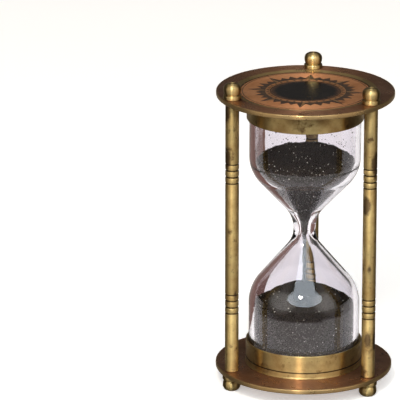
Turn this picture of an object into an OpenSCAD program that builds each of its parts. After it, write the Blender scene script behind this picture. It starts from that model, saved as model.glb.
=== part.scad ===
// Hourglass: two round plates on three turned pillars, with a blown glass held
// between them in two cups. Every pillar end is a threaded stud that carries a
// ball nut: the nuts on top are the finials and the nuts below are the feet.
// The origin is on the surface it stands on, under the glass's axis.

/* [Overall] */
// Height from the flat of the feet to the flat of the finials
total_h = 150; // [145:1:170]

/* [Plates] */
// Diameter of both plates
plate_d = 83; // [83:1:95]
// Thickness of both plates
plate_t = 2.2; // [2.0:0.1:3.0]
// Small round on the plates' rims
rim_round_r = 0.5; // [0.2:0.1:0.9]
// Radius where the slope of the sunk face starts
cove_outer_r = 33.2; // [32:0.1:34]
// Radius where the slope meets the dial's seat
cove_inner_r = 30.4; // [29:0.1:31]
// How far the dial lies below the plate's face
dial_drop = 0.55; // [0.3:0.05:0.7]

/* [Dials] */
// Radius of the dial disc
dial_r = 30.3; // [28:0.1:30.3]
// Thickness of the dial disc
dial_t = 0.6; // [0.5:0.05:0.8]
// Radius of the enamelled centre
enamel_r = 16.3; // [12:0.1:20]
// Thickness of the enamelled centre
enamel_t = 0.25; // [0.15:0.05:0.35]

/* [Pillars] */
// Radius of the circle that the pillars stand on
pillar_circle_r = 37; // [36:0.1:37]
// Radius of the rod that the pillars are turned from
pillar_r = 3.2; // [2.8:0.1:3.6]
// Height of each ring group above and below the middle
ring_offset = 31.85; // [20:0.05:40]
// From a ring group's middle to its two deep grooves
deep_groove_at = 1.6; // [1.2:0.1:2]
// Depth of the two deep grooves
deep_groove_depth = 0.55; // [0.3:0.05:0.7]
// From a ring group's middle to its two shallow grooves
shallow_groove_at = 4.6; // [3.5:0.1:5.5]
// Depth of the two shallow grooves
shallow_groove_depth = 0.3; // [0.2:0.05:0.4]
// Chamfer at both shoulders of the rod
pillar_chamfer = 0.4; // [0.2:0.1:0.6]

/* [Studs and ball nuts] */
// Outer radius of the stud on each pillar end
stud_r = 1.95; // [1.9:0.01:1.97]
// Radius of the bore in a ball nut
nut_bore_r = 2; // [2:0.01:2.04]
// Lift of a nut for each full turn
thread_pitch = 0.7; // [0.5:0.1:0.8]
// Full turns that a nut takes from tight to free
nut_turns = 6.5; // [5:0.5:7]
// Height of a ball nut
nut_h = 7.4; // [7:0.1:9]
// Radius of the collar next to the plate
collar_r = 4.3; // [4:0.1:4.4]
// Height of the collar
collar_h = 2.1; // [1.8:0.1:2.4]
// Rounding of the collar's edges
collar_round_r = 0.8; // [0.4:0.1:0.9]
// Radius of the groove between collar and ball
nut_neck_r = 3.4; // [3.2:0.1:3.6]
// Height of the groove between collar and ball
nut_neck_h = 0.2; // [0.1:0.05:0.4]
// Largest radius of the squat ball
ball_r = 4.2; // [4:0.1:4.4]

/* [Cups and pads] */
// Outer radius of both cups
cup_r = 27.3; // [27.2:0.1:28]
// Height of both cups
cup_h = 11.2; // [9:0.1:13]
// Wall of the cups
cup_wall = 0.9; // [0.7:0.1:0.9]
// Floor of the cups
cup_floor_t = 0.8; // [0.6:0.1:1]
// How far the fine bead stands out round the foot of the cups
cup_bead = 0.4; // [0.2:0.05:0.5]
// Thickness of the cork pads, pressed
pad_t = 1.6; // [1:0.1:2]

/* [Glass] */
// Outer radius of both bulbs
bulb_r = 26; // [24:0.1:26]
// Outer radius of the neck
neck_r = 5.15; // [4.8:0.05:5.5]
// Wall of the bulbs
glass_wall = 2.4; // [2:0.1:2.6]
// Radius of the bore in the neck
neck_bore_r = 1.7; // [1.2:0.1:1.8]
// Slope of the upper cone from upright
upper_cone_angle = 42.6; // [40:0.1:45]
// Radius of the upper cone's curve into the neck
upper_fillet_r = 16.3; // [12:0.1:18]
// Radius of the upper bulb's shoulder
upper_shoulder_r = 17.1; // [15:0.1:20]
// Slope of the lower cone from upright
lower_cone_angle = 39.9; // [38:0.1:45]
// Radius of the lower cone's curve into the neck
lower_fillet_r = 12.1; // [11:0.1:18]
// Radius of the lower bulb's shoulder
lower_shoulder_r = 19.2; // [15:0.1:20]
// Round between the bulbs' walls and their flat ends
end_round_r = 4.5; // [3:0.5:6]
// Radius of the filling hole in the upper end
filling_hole_r = 5; // [4:0.5:7]
// Radius of the cork in the filling hole
cork_r = 4.9; // [3.9:0.1:6.9]
// Length of the cork
cork_h = 7; // [5:0.5:8]

/* [Sand] */
// Gap between the sand and the glass
sand_gap = 0.1; // [0.05:0.05:0.2]
// Height of the upper sand's edge above the neck
upper_level = 34.2; // [20:0.1:45]
// Depth of the dip that the flow leaves in the upper sand
upper_dip = 2.2; // [0.5:0.1:4]
// Height of the lower sand's edge above the standing surface
lower_level = 39; // [25:0.5:45]
// Angle of repose of the lower sand's pile
pile_angle = 25; // [20:1:32]
// Radius of the thread of falling sand
stream_r = 0.8; // [0.5:0.1:1]
// Height below the neck over which the thread narrows
stream_taper_h = 5; // [3:0.5:8]

/* [Hidden] */
$fn = 96;
arc_steps = 10;
mid_z = total_h / 2;
base_z = nut_h;
base_top_z = base_z + plate_t;
top_z = total_h - nut_h;
top_under_z = top_z - plate_t;
pillar_h = top_under_z - base_top_z;
stud_engaged = thread_pitch * nut_turns;
stud_len = plate_t + stud_engaged;
stud_end_gap = 0.35;
stud_hole_r = stud_r + 0.1;
enamel_seat_r = enamel_r + 0.05;
seat_depth = dial_drop + dial_t;
back_angle = 90;
left_angle = 210;
right_angle = 330;
glass_low_z = base_top_z + cup_floor_t + pad_t;
glass_high_z = total_h - glass_low_z;
joint_overlap = 0.01;
cut_past = 1;
copper = "#7b5940";
dial_copper = "#96694b";
antique_brass = "#a0884f";
enamel_black = "#23211e";
sand_grey = "#57524d";
cork_tan = "#a9825a";
glass_tint = [0.82, 0.80, 0.86, 0.35];

// Moves and turns what is drawn for the upper end into its mirror image at the lower end
module at_lower_end() {
    translate([0, 0, mid_z]) mirror([0, 0, 1]) translate([0, 0, -mid_z]) children();
}

module on_pillar(angle) {
    rotate([0, 0, angle]) translate([pillar_circle_r, 0, 0]) children();
}

// A disc with rounded rims, its lower face at z = 0
module rounded_disc(r, t, round_r) {
    rotate_extrude() {
        square([r - round_r, t]);
        translate([0, round_r]) square([r, t - 2 * round_r]);
        for (z = [round_r, t - round_r]) translate([r - round_r, z]) circle(round_r);
    }
}

// Plate with three stud holes and a sunk face whose sloping edge leads to the dial's seat
module plate() {
    difference() {
        translate([0, 0, top_under_z]) rounded_disc(plate_d / 2, plate_t, rim_round_r);
        translate([0, 0, top_z]) rotate_extrude() polygon([
            [0, -seat_depth], [cove_inner_r, -seat_depth], [cove_inner_r, -dial_drop],
            [cove_outer_r, 0], [cove_outer_r, cut_past], [0, cut_past]]);
        for (angle = [back_angle, left_angle, right_angle])
            on_pillar(angle) translate([0, 0, top_under_z - cut_past])
                cylinder(h = plate_t + 2 * cut_past, r = stud_hole_r);
    }
}

// Thin disc with a shallow seat for the enamel
module dial() {
    translate([0, 0, top_z - seat_depth]) difference() {
        cylinder(h = dial_t, r = dial_r);
        translate([0, 0, dial_t - enamel_t]) cylinder(h = cut_past, r = enamel_seat_r);
    }
}

module enamel() {
    translate([0, 0, top_z - dial_drop - enamel_t]) cylinder(h = enamel_t, r = enamel_r);
}

module groove(z, depth) {
    translate([0, 0, z]) rotate_extrude() translate([pillar_r, 0])
        polygon([
            [-depth, 0], [joint_overlap, -depth - joint_overlap], [joint_overlap, depth + joint_overlap]]);
}

// Rod with chamfered shoulders, two groups of four grooves, and a stud on each end
module pillar() {
    translate([0, 0, base_top_z - stud_len]) cylinder(h = pillar_h + 2 * stud_len, r = stud_r);
    difference() {
        translate([0, 0, base_top_z]) rotate_extrude() polygon([
            [0, 0], [pillar_r - pillar_chamfer, 0], [pillar_r, pillar_chamfer],
            [pillar_r, pillar_h - pillar_chamfer], [pillar_r - pillar_chamfer, pillar_h], [0, pillar_h]]);
        for (side = [-1, 1], way = [-1, 1]) {
            groove(mid_z + side * ring_offset + way * deep_groove_at, deep_groove_depth);
            groove(mid_z + side * ring_offset + way * shallow_groove_at, shallow_groove_depth);
        }
    }
}

// Squat ball: a half round spun about the axis, with a small flat at each end
module squat_ball(r, h) {
    rotate_extrude() intersection() {
        union() {
            square([r - h / 2, h]);
            translate([r - h / 2, h / 2]) circle(h / 2);
        }
        square([r, h]);
    }
}

// Ball nut: a rounded collar, a narrow neck and a squat ball, on a blind bore
module ball_nut() {
    ball_h = nut_h - collar_h - nut_neck_h;
    translate([0, 0, top_z]) difference() {
        union() {
            rounded_disc(collar_r, collar_h, collar_round_r);
            cylinder(h = nut_h - ball_h / 2, r = nut_neck_r);
            translate([0, 0, nut_h - ball_h]) squat_ball(ball_r, ball_h);
        }
        translate([0, 0, -cut_past]) cylinder(h = cut_past + stud_engaged + stud_end_gap, r = nut_bore_r);
    }
}

// Turned cup with a flat floor, open towards the glass, and a fine bead round its foot
module cup() {
    difference() {
        union() {
            translate([0, 0, top_under_z - cup_h]) cylinder(h = cup_h, r = cup_r);
            translate([0, 0, top_under_z]) rotate_extrude() polygon([
                [0, 0], [cup_r + cup_bead, 0], [cup_r + cup_bead, -cup_bead],
                [cup_r, -2 * cup_bead], [0, -2 * cup_bead]]);
        }
        translate([0, 0, top_under_z - cup_h - cut_past])
            cylinder(h = cup_h + cut_past - cup_floor_t, r = cup_r - cup_wall);
    }
}

module pad() {
    translate([0, 0, glass_high_z]) cylinder(h = pad_t, r = cup_r - cup_wall - sand_gap);
}

// Half outline of a bulb from the neck up, as points [radius, height above the neck]:
// a concave fillet, a straight cone and a convex shoulder
function shoulder_h(neck, bulb, fillet, shoulder, angle) =
    (fillet + shoulder) * sin(angle)
    + (bulb - neck - (fillet + shoulder) * (1 - cos(angle))) / tan(angle);
function bulb_outline(neck, bulb, fillet, shoulder, angle) =
    let (top = shoulder_h(neck, bulb, fillet, shoulder, angle))
    concat(
        [for (i = [0 : arc_steps]) let (a = angle * i / arc_steps)
            [neck + fillet * (1 - cos(a)), fillet * sin(a)]],
        [for (i = [0 : arc_steps]) let (a = angle * (1 - i / arc_steps))
            [bulb - shoulder * (1 - cos(a)), top - shoulder * sin(a)]]);
// The inner fillet that gives an even wall along the cone
function inner_fillet(fillet, shoulder, angle) =
    let (same_shoulder = shoulder_h(neck_r, bulb_r, fillet, shoulder, angle)
            - shoulder_h(neck_bore_r, bulb_r - glass_wall, 0, shoulder - glass_wall, angle))
    same_shoulder / (sin(angle) - (1 - cos(angle)) / tan(angle));

function inner_outline(gap, fillet, shoulder, angle) =
    bulb_outline(neck_bore_r - gap, bulb_r - glass_wall - gap,
        inner_fillet(fillet, shoulder, angle) + gap, shoulder - glass_wall - gap, angle);
function upper_inner(gap) = [for (p = inner_outline(gap, upper_fillet_r, upper_shoulder_r, upper_cone_angle))
    [p[0], mid_z + p[1]]];
function lower_inner(gap) = [for (p = inner_outline(gap, lower_fillet_r, lower_shoulder_r, lower_cone_angle))
    [p[0], mid_z - p[1]]];
upper_outer = [for (p = bulb_outline(neck_r, bulb_r, upper_fillet_r, upper_shoulder_r, upper_cone_angle))
    [p[0], mid_z + p[1]]];
lower_outer = [for (p = bulb_outline(neck_r, bulb_r, lower_fillet_r, lower_shoulder_r, lower_cone_angle))
    [p[0], mid_z - p[1]]];

function reversed(list) = [for (i = [len(list) - 1 : -1 : 0]) list[i]];
// Quarter round from a wall of radius r to a flat end at height z; way is 1 for an upper end
function end_corner(r, z, round_r, way) = [for (i = [0 : arc_steps]) let (a = 90 * i / arc_steps)
    [r - round_r * (1 - cos(a)), z - way * round_r * (1 - sin(a))]];

// One blown piece: both bulbs, the neck between them, and a filling hole in the upper end
module glass_shape() {
    inner_round = end_round_r - glass_wall / 2;
    outside = concat([[0, glass_low_z]], reversed(end_corner(bulb_r, glass_low_z, end_round_r, -1)),
        reversed(lower_outer), upper_outer,
        end_corner(bulb_r, glass_high_z, end_round_r, 1), [[0, glass_high_z]]);
    inside_r = bulb_r - glass_wall;
    inside = concat([[0, glass_low_z + glass_wall]],
        reversed(end_corner(inside_r, glass_low_z + glass_wall, inner_round, -1)),
        reversed(lower_inner(0)), upper_inner(0),
        end_corner(inside_r, glass_high_z - glass_wall, inner_round, 1), [[0, glass_high_z - glass_wall]]);
    difference() {
        rotate_extrude() polygon(outside);
        rotate_extrude() polygon(inside);
        translate([0, 0, glass_high_z - 2 * glass_wall]) cylinder(h = 3 * glass_wall, r = filling_hole_r);
    }
}

module stopper() {
    translate([0, 0, glass_high_z - cork_h]) cylinder(h = cork_h, r = cork_r);
}

// Points of an outline that lie below a level, with the point on the level itself
function below(list, level) = [for (p = list) if (p[1] < level) p];

// Sand that fills the funnel down into the neck, with a shallow dip on top
module upper_sand_shape() {
    wall = below(upper_inner(sand_gap), mid_z + upper_level);
    rotate_extrude() polygon(concat([[0, mid_z]], wall,
        [[bulb_r - glass_wall - sand_gap, mid_z + upper_level], [0, mid_z + upper_level - upper_dip]]));
}

// Pile on the floor of the lower bulb, coned at its angle of repose
module lower_sand_shape() {
    r = bulb_r - glass_wall - sand_gap;
    floor_z = glass_low_z + glass_wall + sand_gap;
    corner = reversed(end_corner(r, floor_z, end_round_r - glass_wall / 2, -1));
    rotate_extrude() polygon(concat([[0, floor_z]], corner,
        [[r, lower_level], [0, lower_level + r * tan(pile_angle)]]));
}

// Thread of falling sand, narrowing from the neck's bore to a thin stream
module stream_shape() {
    pile_top = lower_level + (bulb_r - glass_wall - sand_gap) * tan(pile_angle);
    narrow_z = mid_z - stream_taper_h;
    translate([0, 0, pile_top]) cylinder(h = narrow_z - pile_top, r = stream_r);
    translate([0, 0, narrow_z]) cylinder(h = stream_taper_h, r1 = stream_r, r2 = neck_bore_r - sand_gap);
}

module top_plate() { color(copper) plate(); }
module base_plate() { color(copper) at_lower_end() plate(); }
module top_dial() { color(dial_copper) dial(); }
module base_dial() { color(dial_copper) at_lower_end() dial(); }
module top_enamel() { color(enamel_black) enamel(); }
module base_enamel() { color(enamel_black) at_lower_end() enamel(); }
module pillar_back() { color(antique_brass) on_pillar(back_angle) pillar(); }
module pillar_left() { color(antique_brass) on_pillar(left_angle) pillar(); }
module pillar_right() { color(antique_brass) on_pillar(right_angle) pillar(); }
module finial_back() { color(antique_brass) on_pillar(back_angle) ball_nut(); }
module finial_left() { color(antique_brass) on_pillar(left_angle) ball_nut(); }
module finial_right() { color(antique_brass) on_pillar(right_angle) ball_nut(); }
module foot_back() { color(antique_brass) at_lower_end() on_pillar(back_angle) ball_nut(); }
module foot_left() { color(antique_brass) at_lower_end() on_pillar(left_angle) ball_nut(); }
module foot_right() { color(antique_brass) at_lower_end() on_pillar(right_angle) ball_nut(); }
module upper_cup() { color(antique_brass) cup(); }
module lower_cup() { color(antique_brass) at_lower_end() cup(); }
module upper_pad() { color(cork_tan) pad(); }
module lower_pad() { color(cork_tan) at_lower_end() pad(); }
module glass_bulb() { color(glass_tint) glass_shape(); }
module glass_stopper() { color(cork_tan) stopper(); }
module upper_sand() { color(sand_grey) upper_sand_shape(); }
module lower_sand() { color(sand_grey) lower_sand_shape(); }
module sand_stream() { color(sand_grey) stream_shape(); }

top_plate();
base_plate();
top_dial();
base_dial();
top_enamel();
base_enamel();
pillar_back();
pillar_left();
pillar_right();
finial_back();
finial_left();
finial_right();
foot_back();
foot_left();
foot_right();
upper_cup();
lower_cup();
upper_pad();
lower_pad();
glass_bulb();
glass_stopper();
upper_sand();
lower_sand();
sand_stream();
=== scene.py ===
"""Hourglass: a blown glass held in two cups between two round plates on three turned pillars.

The pieces follow each other as the real one is put together: plates, dials, pillars,
ball nuts, cups, pads, glass, cork and sand. Sizes in the sections are millimetres.
"""
import math
import random

import bpy
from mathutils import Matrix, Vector, noise


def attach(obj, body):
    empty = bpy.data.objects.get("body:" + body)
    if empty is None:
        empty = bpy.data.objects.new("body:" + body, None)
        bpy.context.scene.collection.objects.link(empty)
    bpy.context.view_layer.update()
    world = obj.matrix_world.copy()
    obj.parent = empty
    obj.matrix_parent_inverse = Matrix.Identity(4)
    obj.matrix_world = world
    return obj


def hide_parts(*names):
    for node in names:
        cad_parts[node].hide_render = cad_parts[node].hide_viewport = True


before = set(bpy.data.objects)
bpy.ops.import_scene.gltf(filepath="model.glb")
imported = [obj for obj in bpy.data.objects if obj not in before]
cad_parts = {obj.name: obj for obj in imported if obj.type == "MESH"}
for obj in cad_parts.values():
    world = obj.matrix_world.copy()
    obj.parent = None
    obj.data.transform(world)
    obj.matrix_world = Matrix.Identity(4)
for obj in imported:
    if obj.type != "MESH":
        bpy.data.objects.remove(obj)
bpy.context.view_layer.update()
MM = 0.001

# ---------------------------------------------------------------- Camera
# A long lens, a little above the hourglass, which stands right of the picture's middle.
CAMERA_AZIMUTH, CAMERA_ELEVATION = math.radians(6.9), math.radians(18.04)
CAMERA_LENS, CAMERA_DISTANCE = 394.3, 2.050
AIM_Z, AIM_LEFT, AIM_UP = 76.1, 48.9, 12.2
camera_back = Vector((
    math.sin(CAMERA_AZIMUTH) * math.cos(CAMERA_ELEVATION),
    -math.cos(CAMERA_AZIMUTH) * math.cos(CAMERA_ELEVATION),
    math.sin(CAMERA_ELEVATION)))
camera_right = Vector((math.cos(CAMERA_AZIMUTH), math.sin(CAMERA_AZIMUTH), 0))
camera_up = camera_back.cross(camera_right)
camera = bpy.data.objects.new("camera", bpy.data.cameras.new("camera"))
bpy.context.collection.objects.link(camera)
camera.data.lens = CAMERA_LENS
camera.location = (Vector((0, 0, AIM_Z * MM)) + camera_back * CAMERA_DISTANCE
                   - camera_right * AIM_LEFT * MM + camera_up * AIM_UP * MM)
camera.rotation_mode = "QUATERNION"
camera.rotation_quaternion = (-camera_back).to_track_quat("-Z", "Y")
bpy.context.scene.camera = camera
bpy.context.scene.view_settings.view_transform = "Standard"

# ---------------------------------------------------------------- Floor, lights and surroundings
# A pale floor under one wide soft window in front, a small bright lamp left of the camera and a
# weak window behind. The metal mirrors the surroundings, not the floor: they are bright in
# front and, in two soft patches, at both sides, and nearly dark elsewhere.


def add(tree, kind, inputs=None, **settings):
    """Adds a shader node, applies its settings, and fills or links its inputs."""
    made = tree.nodes.new("ShaderNode" + kind)
    for name, value in settings.items():
        setattr(made, name, value)
    for name, value in (inputs or {}).items():
        if isinstance(value, bpy.types.NodeSocket):
            tree.links.new(value, made.inputs[name])
        else:
            made.inputs[name].default_value = value
    return made


def math_node(tree, operation, *values):
    return add(tree, "Math", dict(enumerate(values)), operation=operation).outputs[0]


def ramp(tree, factor, *stops):
    """A colour ramp through (position, colour) stops."""
    made = add(tree, "ValToRGB", {"Fac": factor})
    elements = made.color_ramp.elements
    for index, (position, colour) in enumerate(stops):
        element = elements[index] if index < 2 else elements.new(position)
        element.position = position
        element.color = (*colour, 1) if len(colour) == 3 else colour
    return made.outputs["Color"]


def mixed(tree, factor, first, second):
    """One colour laid over another."""
    made = add(tree, "Mix", {0: factor, 6: first, 7: second}, data_type="RGBA")
    return made.outputs[2]


bpy.ops.object.select_all(action="DESELECT")
bpy.ops.mesh.primitive_plane_add(size=40, location=(0, 0, 0))
floor = bpy.context.object
floor.name = "floor"
floor.visible_glossy = False
floor_paint = bpy.data.materials.new("floor_paint")
floor_paint.use_nodes = True
floor_tree = floor_paint.node_tree
floor_shader = floor_tree.nodes["Principled BSDF"]
# What the inner wall of the glass mirrors has crossed glass twice. It is dimmed in front of the
# hourglass, as the dark room would be, so that it doesn't veil the sand.
FLOOR_COLOUR, FLOOR_GLOW = (0.90, 0.86, 0.83, 1), 0.42
DIM_COLOUR, DIM_GLOW, DIM_FROM_Y = (0.27, 0.22, 0.20, 1), 0.10, -0.10
in_front = add(floor_tree, "SeparateXYZ", {0: add(floor_tree, "TexCoord").outputs["Object"]}).outputs["Y"]
in_front = add(floor_tree, "MapRange", {0: in_front, 1: 0.0, 2: DIM_FROM_Y}).outputs[0]
crossings = add(floor_tree, "LightPath").outputs["Transmission Depth"]
mirrored = math_node(floor_tree, "MULTIPLY", in_front,
                     math_node(floor_tree, "COMPARE", crossings, 2.0, 0.5))
floor_tree.links.new(mixed(floor_tree, mirrored, FLOOR_COLOUR, DIM_COLOUR), floor_shader.inputs["Base Color"])
floor_shader.inputs["Roughness"].default_value = 0.9
floor_shader.inputs["Specular IOR Level"].default_value = 0.0
floor_shader.inputs["Emission Color"].default_value = (1.0, 0.99, 0.98, 1)
floor_tree.links.new(math_node(floor_tree, "MULTIPLY_ADD", mirrored, DIM_GLOW - FLOOR_GLOW, FLOOR_GLOW),
                     floor_shader.inputs["Emission Strength"])
floor.data.materials.append(floor_paint)

LIGHT_TARGET = Vector((0, 0, 80 * MM))


def way_to(azimuth, elevation):
    """The direction from the object to an azimuth and elevation, in degrees."""
    a, e = math.radians(azimuth), math.radians(elevation)
    return Vector((math.sin(a) * math.cos(e), -math.cos(a) * math.cos(e), math.sin(e)))


def soft_light(name, azimuth, elevation, distance, width, height, radiance, colour, shape="RECTANGLE"):
    """An area light seen from the object at an azimuth and elevation, in degrees."""
    way = way_to(azimuth, elevation)
    lamp = bpy.data.objects.new(name, bpy.data.lights.new(name, "AREA"))
    bpy.context.collection.objects.link(lamp)
    lamp.data.shape = shape
    lamp.data.size, lamp.data.size_y = width, height
    area = width * height * (math.pi / 4 if shape == "ELLIPSE" else 1)
    lamp.data.energy = radiance * math.pi * area
    lamp.data.color = colour
    lamp.location = LIGHT_TARGET + way * distance
    lamp.rotation_mode = "QUATERNION"
    lamp.rotation_quaternion = (-way).to_track_quat("-Z", "Y")
    lamp.visible_camera = False
    return lamp


soft_light("sky_window", 6.9, 39.5, 1.2, 1.7, 1.12, 3.6, (0.80, 0.92, 1.0), "ELLIPSE")
soft_light("lamp", -4.1, 42, 1.2, 0.17, 0.17, 80, (1.0, 0.93, 0.82), "ELLIPSE")
soft_light("back_window", 187, 56, 1.4, 2.0, 0.7, 0.5, (1.0, 0.96, 0.90), "ELLIPSE")

# An upright brown card behind the left of the glass, which is seen only through glass
CARD_W, CARD_H, CARD_X, CARD_Y, CARD_Z = 90, 140, -78, 62, 70
CARD_COLOUR = (0.20, 0.10, 0.08, 1)
bpy.ops.object.select_all(action="DESELECT")
bpy.ops.mesh.primitive_plane_add(size=1, location=(0, 0, 0))
card = bpy.context.object
bpy.ops.object.mode_set(mode="EDIT")
bpy.ops.transform.resize(value=(CARD_W * MM, CARD_H * MM, 1))
bpy.ops.object.mode_set(mode="OBJECT")
card.location = (CARD_X * MM, CARD_Y * MM, CARD_Z * MM)
card.rotation_euler = (math.pi / 2, 0, 0)
card.name = "brown_card"
card_paint = bpy.data.materials.new("card_paint")
card_paint.use_nodes = True
card_shader = card_paint.node_tree.nodes["Principled BSDF"]
card_shader.inputs["Base Color"].default_value = (0.0, 0.0, 0.0, 1)
card_shader.inputs["Emission Color"].default_value = CARD_COLOUR
card_shader.inputs["Emission Strength"].default_value = 1.0
card.data.materials.append(card_paint)
card.visible_camera = card.visible_diffuse = card.visible_glossy = card.visible_shadow = False

world = bpy.data.worlds.new("surroundings")
bpy.context.scene.world = world
world.use_nodes = True
sky = world.node_tree
direction = add(sky, "TexCoord").outputs["Generated"]
front = add(sky, "VectorMath", {0: direction, 1: tuple(camera_right.cross(Vector((0, 0, 1))))},
            operation="DOT_PRODUCT").outputs["Value"]
height = add(sky, "SeparateXYZ", {0: direction}).outputs["Z"]
ahead = add(sky, "MapRange", {0: front, 1: 0.25, 2: 0.62}).outputs[0]
behind = add(sky, "Clamp", {0: math_node(sky, "MULTIPLY_ADD", front, -2.5, -1.3)}).outputs[0]
below = add(sky, "Clamp", {0: math_node(sky, "MULTIPLY_ADD", height, -12.0, 0.5)}).outputs[0]
# Light from ahead and behind above the horizon, how it changes below, and what is all round
AHEAD, AHEAD_FALL, BEHIND, BEHIND_FALL, ALL_ROUND = 0.34, -0.22, 0.03, 0.20, 0.05
strength = ALL_ROUND
for way, above, fall in ((ahead, AHEAD, AHEAD_FALL), (behind, BEHIND, BEHIND_FALL)):
    lobe = math_node(sky, "MULTIPLY_ADD", below, fall, above)
    strength = math_node(sky, "MULTIPLY_ADD", way, lobe, strength)
# Two soft patches, left and right of the camera
SIDE_AZIMUTH, SIDE_ELEVATION, SIDE_STRENGTH = 54, 22, 1.2
for side_way in (-SIDE_AZIMUTH, SIDE_AZIMUTH):
    patch_way = way_to(math.degrees(CAMERA_AZIMUTH) + side_way, SIDE_ELEVATION)
    towards = add(sky, "VectorMath", {0: direction, 1: tuple(patch_way)},
                  operation="DOT_PRODUCT").outputs["Value"]
    side = add(sky, "MapRange", {0: towards, 1: 0.80, 2: 0.98, 3: 0.0, 4: SIDE_STRENGTH},
               interpolation_type="SMOOTHSTEP").outputs[0]
    strength = math_node(sky, "ADD", strength, side)
background = sky.nodes["Background"]
background.inputs["Color"].default_value = (1.0, 0.95, 0.88, 1)
sky.links.new(strength, background.inputs["Strength"])

# ---------------------------------------------------------------- Plates
# Two round plates of brass, browned to copper colour and rubbed bright on the rim.
# Each is turned with a sunk face for its dial and drilled for the three pillars.
TOTAL_H = 150.0
PLATE_R, PLATE_T, NUT_H = 41.5, 2.2, 7.4
TOP_Z, TOP_UNDER_Z = TOTAL_H - NUT_H, TOTAL_H - NUT_H - PLATE_T
COVE_OUTER_R, COVE_INNER_R = 33.2, 30.4
DIAL_DROP, DIAL_T = 0.55, 0.6
MID_Z = TOTAL_H / 2
PILLAR_CIRCLE_R, STUD_R = 37.0, 1.95
PILLAR_PLACES = {
    name: (PILLAR_CIRCLE_R * math.cos(math.radians(angle)), PILLAR_CIRCLE_R * math.sin(math.radians(angle)))
    for name, angle in {"back": 90, "left": 210, "right": 330}.items()}
COPPER, BRASS = (0.36, 0.175, 0.09), (0.66, 0.48, 0.20)
COVE_BRASS, SEAM_BLACK, DIRT = (0.36, 0.24, 0.10, 1), (0.02, 0.012, 0.008, 1), (0.045, 0.028, 0.015, 1)
HALO_BROWN, MARK_BROWN = (0.05, 0.024, 0.013, 1), (0.075, 0.040, 0.022, 1)
# Sizes of the tool lines, the tarnish, the stains and the pits, and how ragged stains are
TOOL_LINE, PATCH, BLOT, SPECK = 0.35, 9, 5, 0.9
HALO_RAGGED, MARK_RAGGED, MARK_STRETCH = 1.1, 1.6, 0.45
RIM_ROUND, COVE_W = 0.5, 2.7


def arc(centre_r, centre_z, radius, start, end, steps):
    """Points (radius, height) round an arc, with its angles in degrees from the outward level."""
    return [
        (centre_r + radius * math.cos(math.radians(start + (end - start) * i / steps)),
         centre_z + radius * math.sin(math.radians(start + (end - start) * i / steps)))
        for i in range(steps + 1)]


def turned(name, outline, steps=96, place=(0, 0), flip=False):
    """A piece turned on a lathe: its outline of (radius, height) is spun about the upright axis
    that stands at place. flip makes the mirror image at the hourglass's other end."""
    if flip:
        outline = [(r, TOTAL_H - z) for r, z in outline]
    x, y = place
    bpy.ops.object.select_all(action="DESELECT")
    bpy.ops.mesh.primitive_plane_add(size=MM, location=(0, 0, 0))
    piece = bpy.context.object
    piece.name = piece.data.name = name
    bpy.ops.object.mode_set(mode="EDIT")
    bpy.ops.mesh.merge(type="CENTER")
    bpy.ops.transform.translate(value=((x + outline[0][0]) * MM, y * MM, outline[0][1] * MM))
    for (r0, z0), (r1, z1) in zip(outline, outline[1:]):
        bpy.ops.mesh.extrude_vertices_move(
            TRANSFORM_OT_translate={"value": ((r1 - r0) * MM, 0, (z1 - z0) * MM)})
    bpy.ops.mesh.select_all(action="SELECT")
    bpy.ops.mesh.spin(steps=steps, angle=math.tau, center=(x * MM, y * MM, 0), axis=(0, 0, 1))
    bpy.ops.mesh.select_all(action="SELECT")
    bpy.ops.mesh.remove_doubles(threshold=0.002 * MM)
    bpy.ops.mesh.normals_make_consistent(inside=False)
    bpy.ops.object.mode_set(mode="OBJECT")
    bpy.ops.object.shade_smooth_by_angle(angle=math.radians(32))
    return piece


def drilled(piece, places, radius, low, high):
    """Drills upright round holes through a piece."""
    for x, y in places:
        bpy.ops.object.select_all(action="DESELECT")
        bpy.ops.mesh.primitive_cylinder_add(
            vertices=40, radius=radius * MM, depth=(high - low) * MM,
            location=(x * MM, y * MM, (low + high) / 2 * MM))
        drill = bpy.context.object
        cut = piece.modifiers.new("drill", "BOOLEAN")
        cut.object, cut.operation, cut.solver = drill, "DIFFERENCE", "EXACT"
        bpy.context.view_layer.objects.active = piece
        bpy.ops.object.modifier_apply(modifier="drill")
        bpy.data.objects.remove(drill)
    bpy.ops.object.select_all(action="DESELECT")
    piece.select_set(True)
    bpy.ops.object.shade_smooth_by_angle(angle=math.radians(32))


def new_material(name, roughness, metallic=0.0):
    """A material with its node tree, its shader and its place on the piece, in metres."""
    material = bpy.data.materials.new(name)
    material.use_nodes = True
    tree = material.node_tree
    shader = tree.nodes["Principled BSDF"]
    shader.inputs["Roughness"].default_value = roughness
    shader.inputs["Metallic"].default_value = metallic
    return material, tree, shader, add(tree, "TexCoord").outputs["Object"]


def radius_of(tree, place):
    """Distance from the hourglass's upright axis, in millimetres."""
    flat = add(tree, "VectorMath", {0: place, 1: (1 / MM, 1 / MM, 0)}, operation="MULTIPLY").outputs[0]
    return add(tree, "VectorMath", {0: flat}, operation="LENGTH").outputs["Value"]


def height_of(tree, place):
    """Height above the standing surface, in millimetres."""
    return math_node(tree, "MULTIPLY", add(tree, "SeparateXYZ", {0: place}).outputs["Z"], 1 / MM)


def cloud(tree, place, size, detail=4.0, offset=0.0):
    """Soft noise with features of about size mm."""
    spot = add(tree, "Mapping", {"Vector": place, "Location": (offset, offset, offset)}).outputs[0]
    return add(tree, "TexNoise", {"Vector": spot, "Scale": 1 / (size * MM), "Detail": detail,
                                  "Roughness": 0.6}).outputs["Fac"]


def tool_lines(tree, along, width):
    """The fine lines a lathe tool leaves, at random heights or radii along the cut."""
    return add(tree, "TexNoise", {"W": along, "Scale": 1 / width, "Detail": 3.0, "Roughness": 0.7},
               noise_dimensions="1D").outputs["Fac"]


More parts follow.
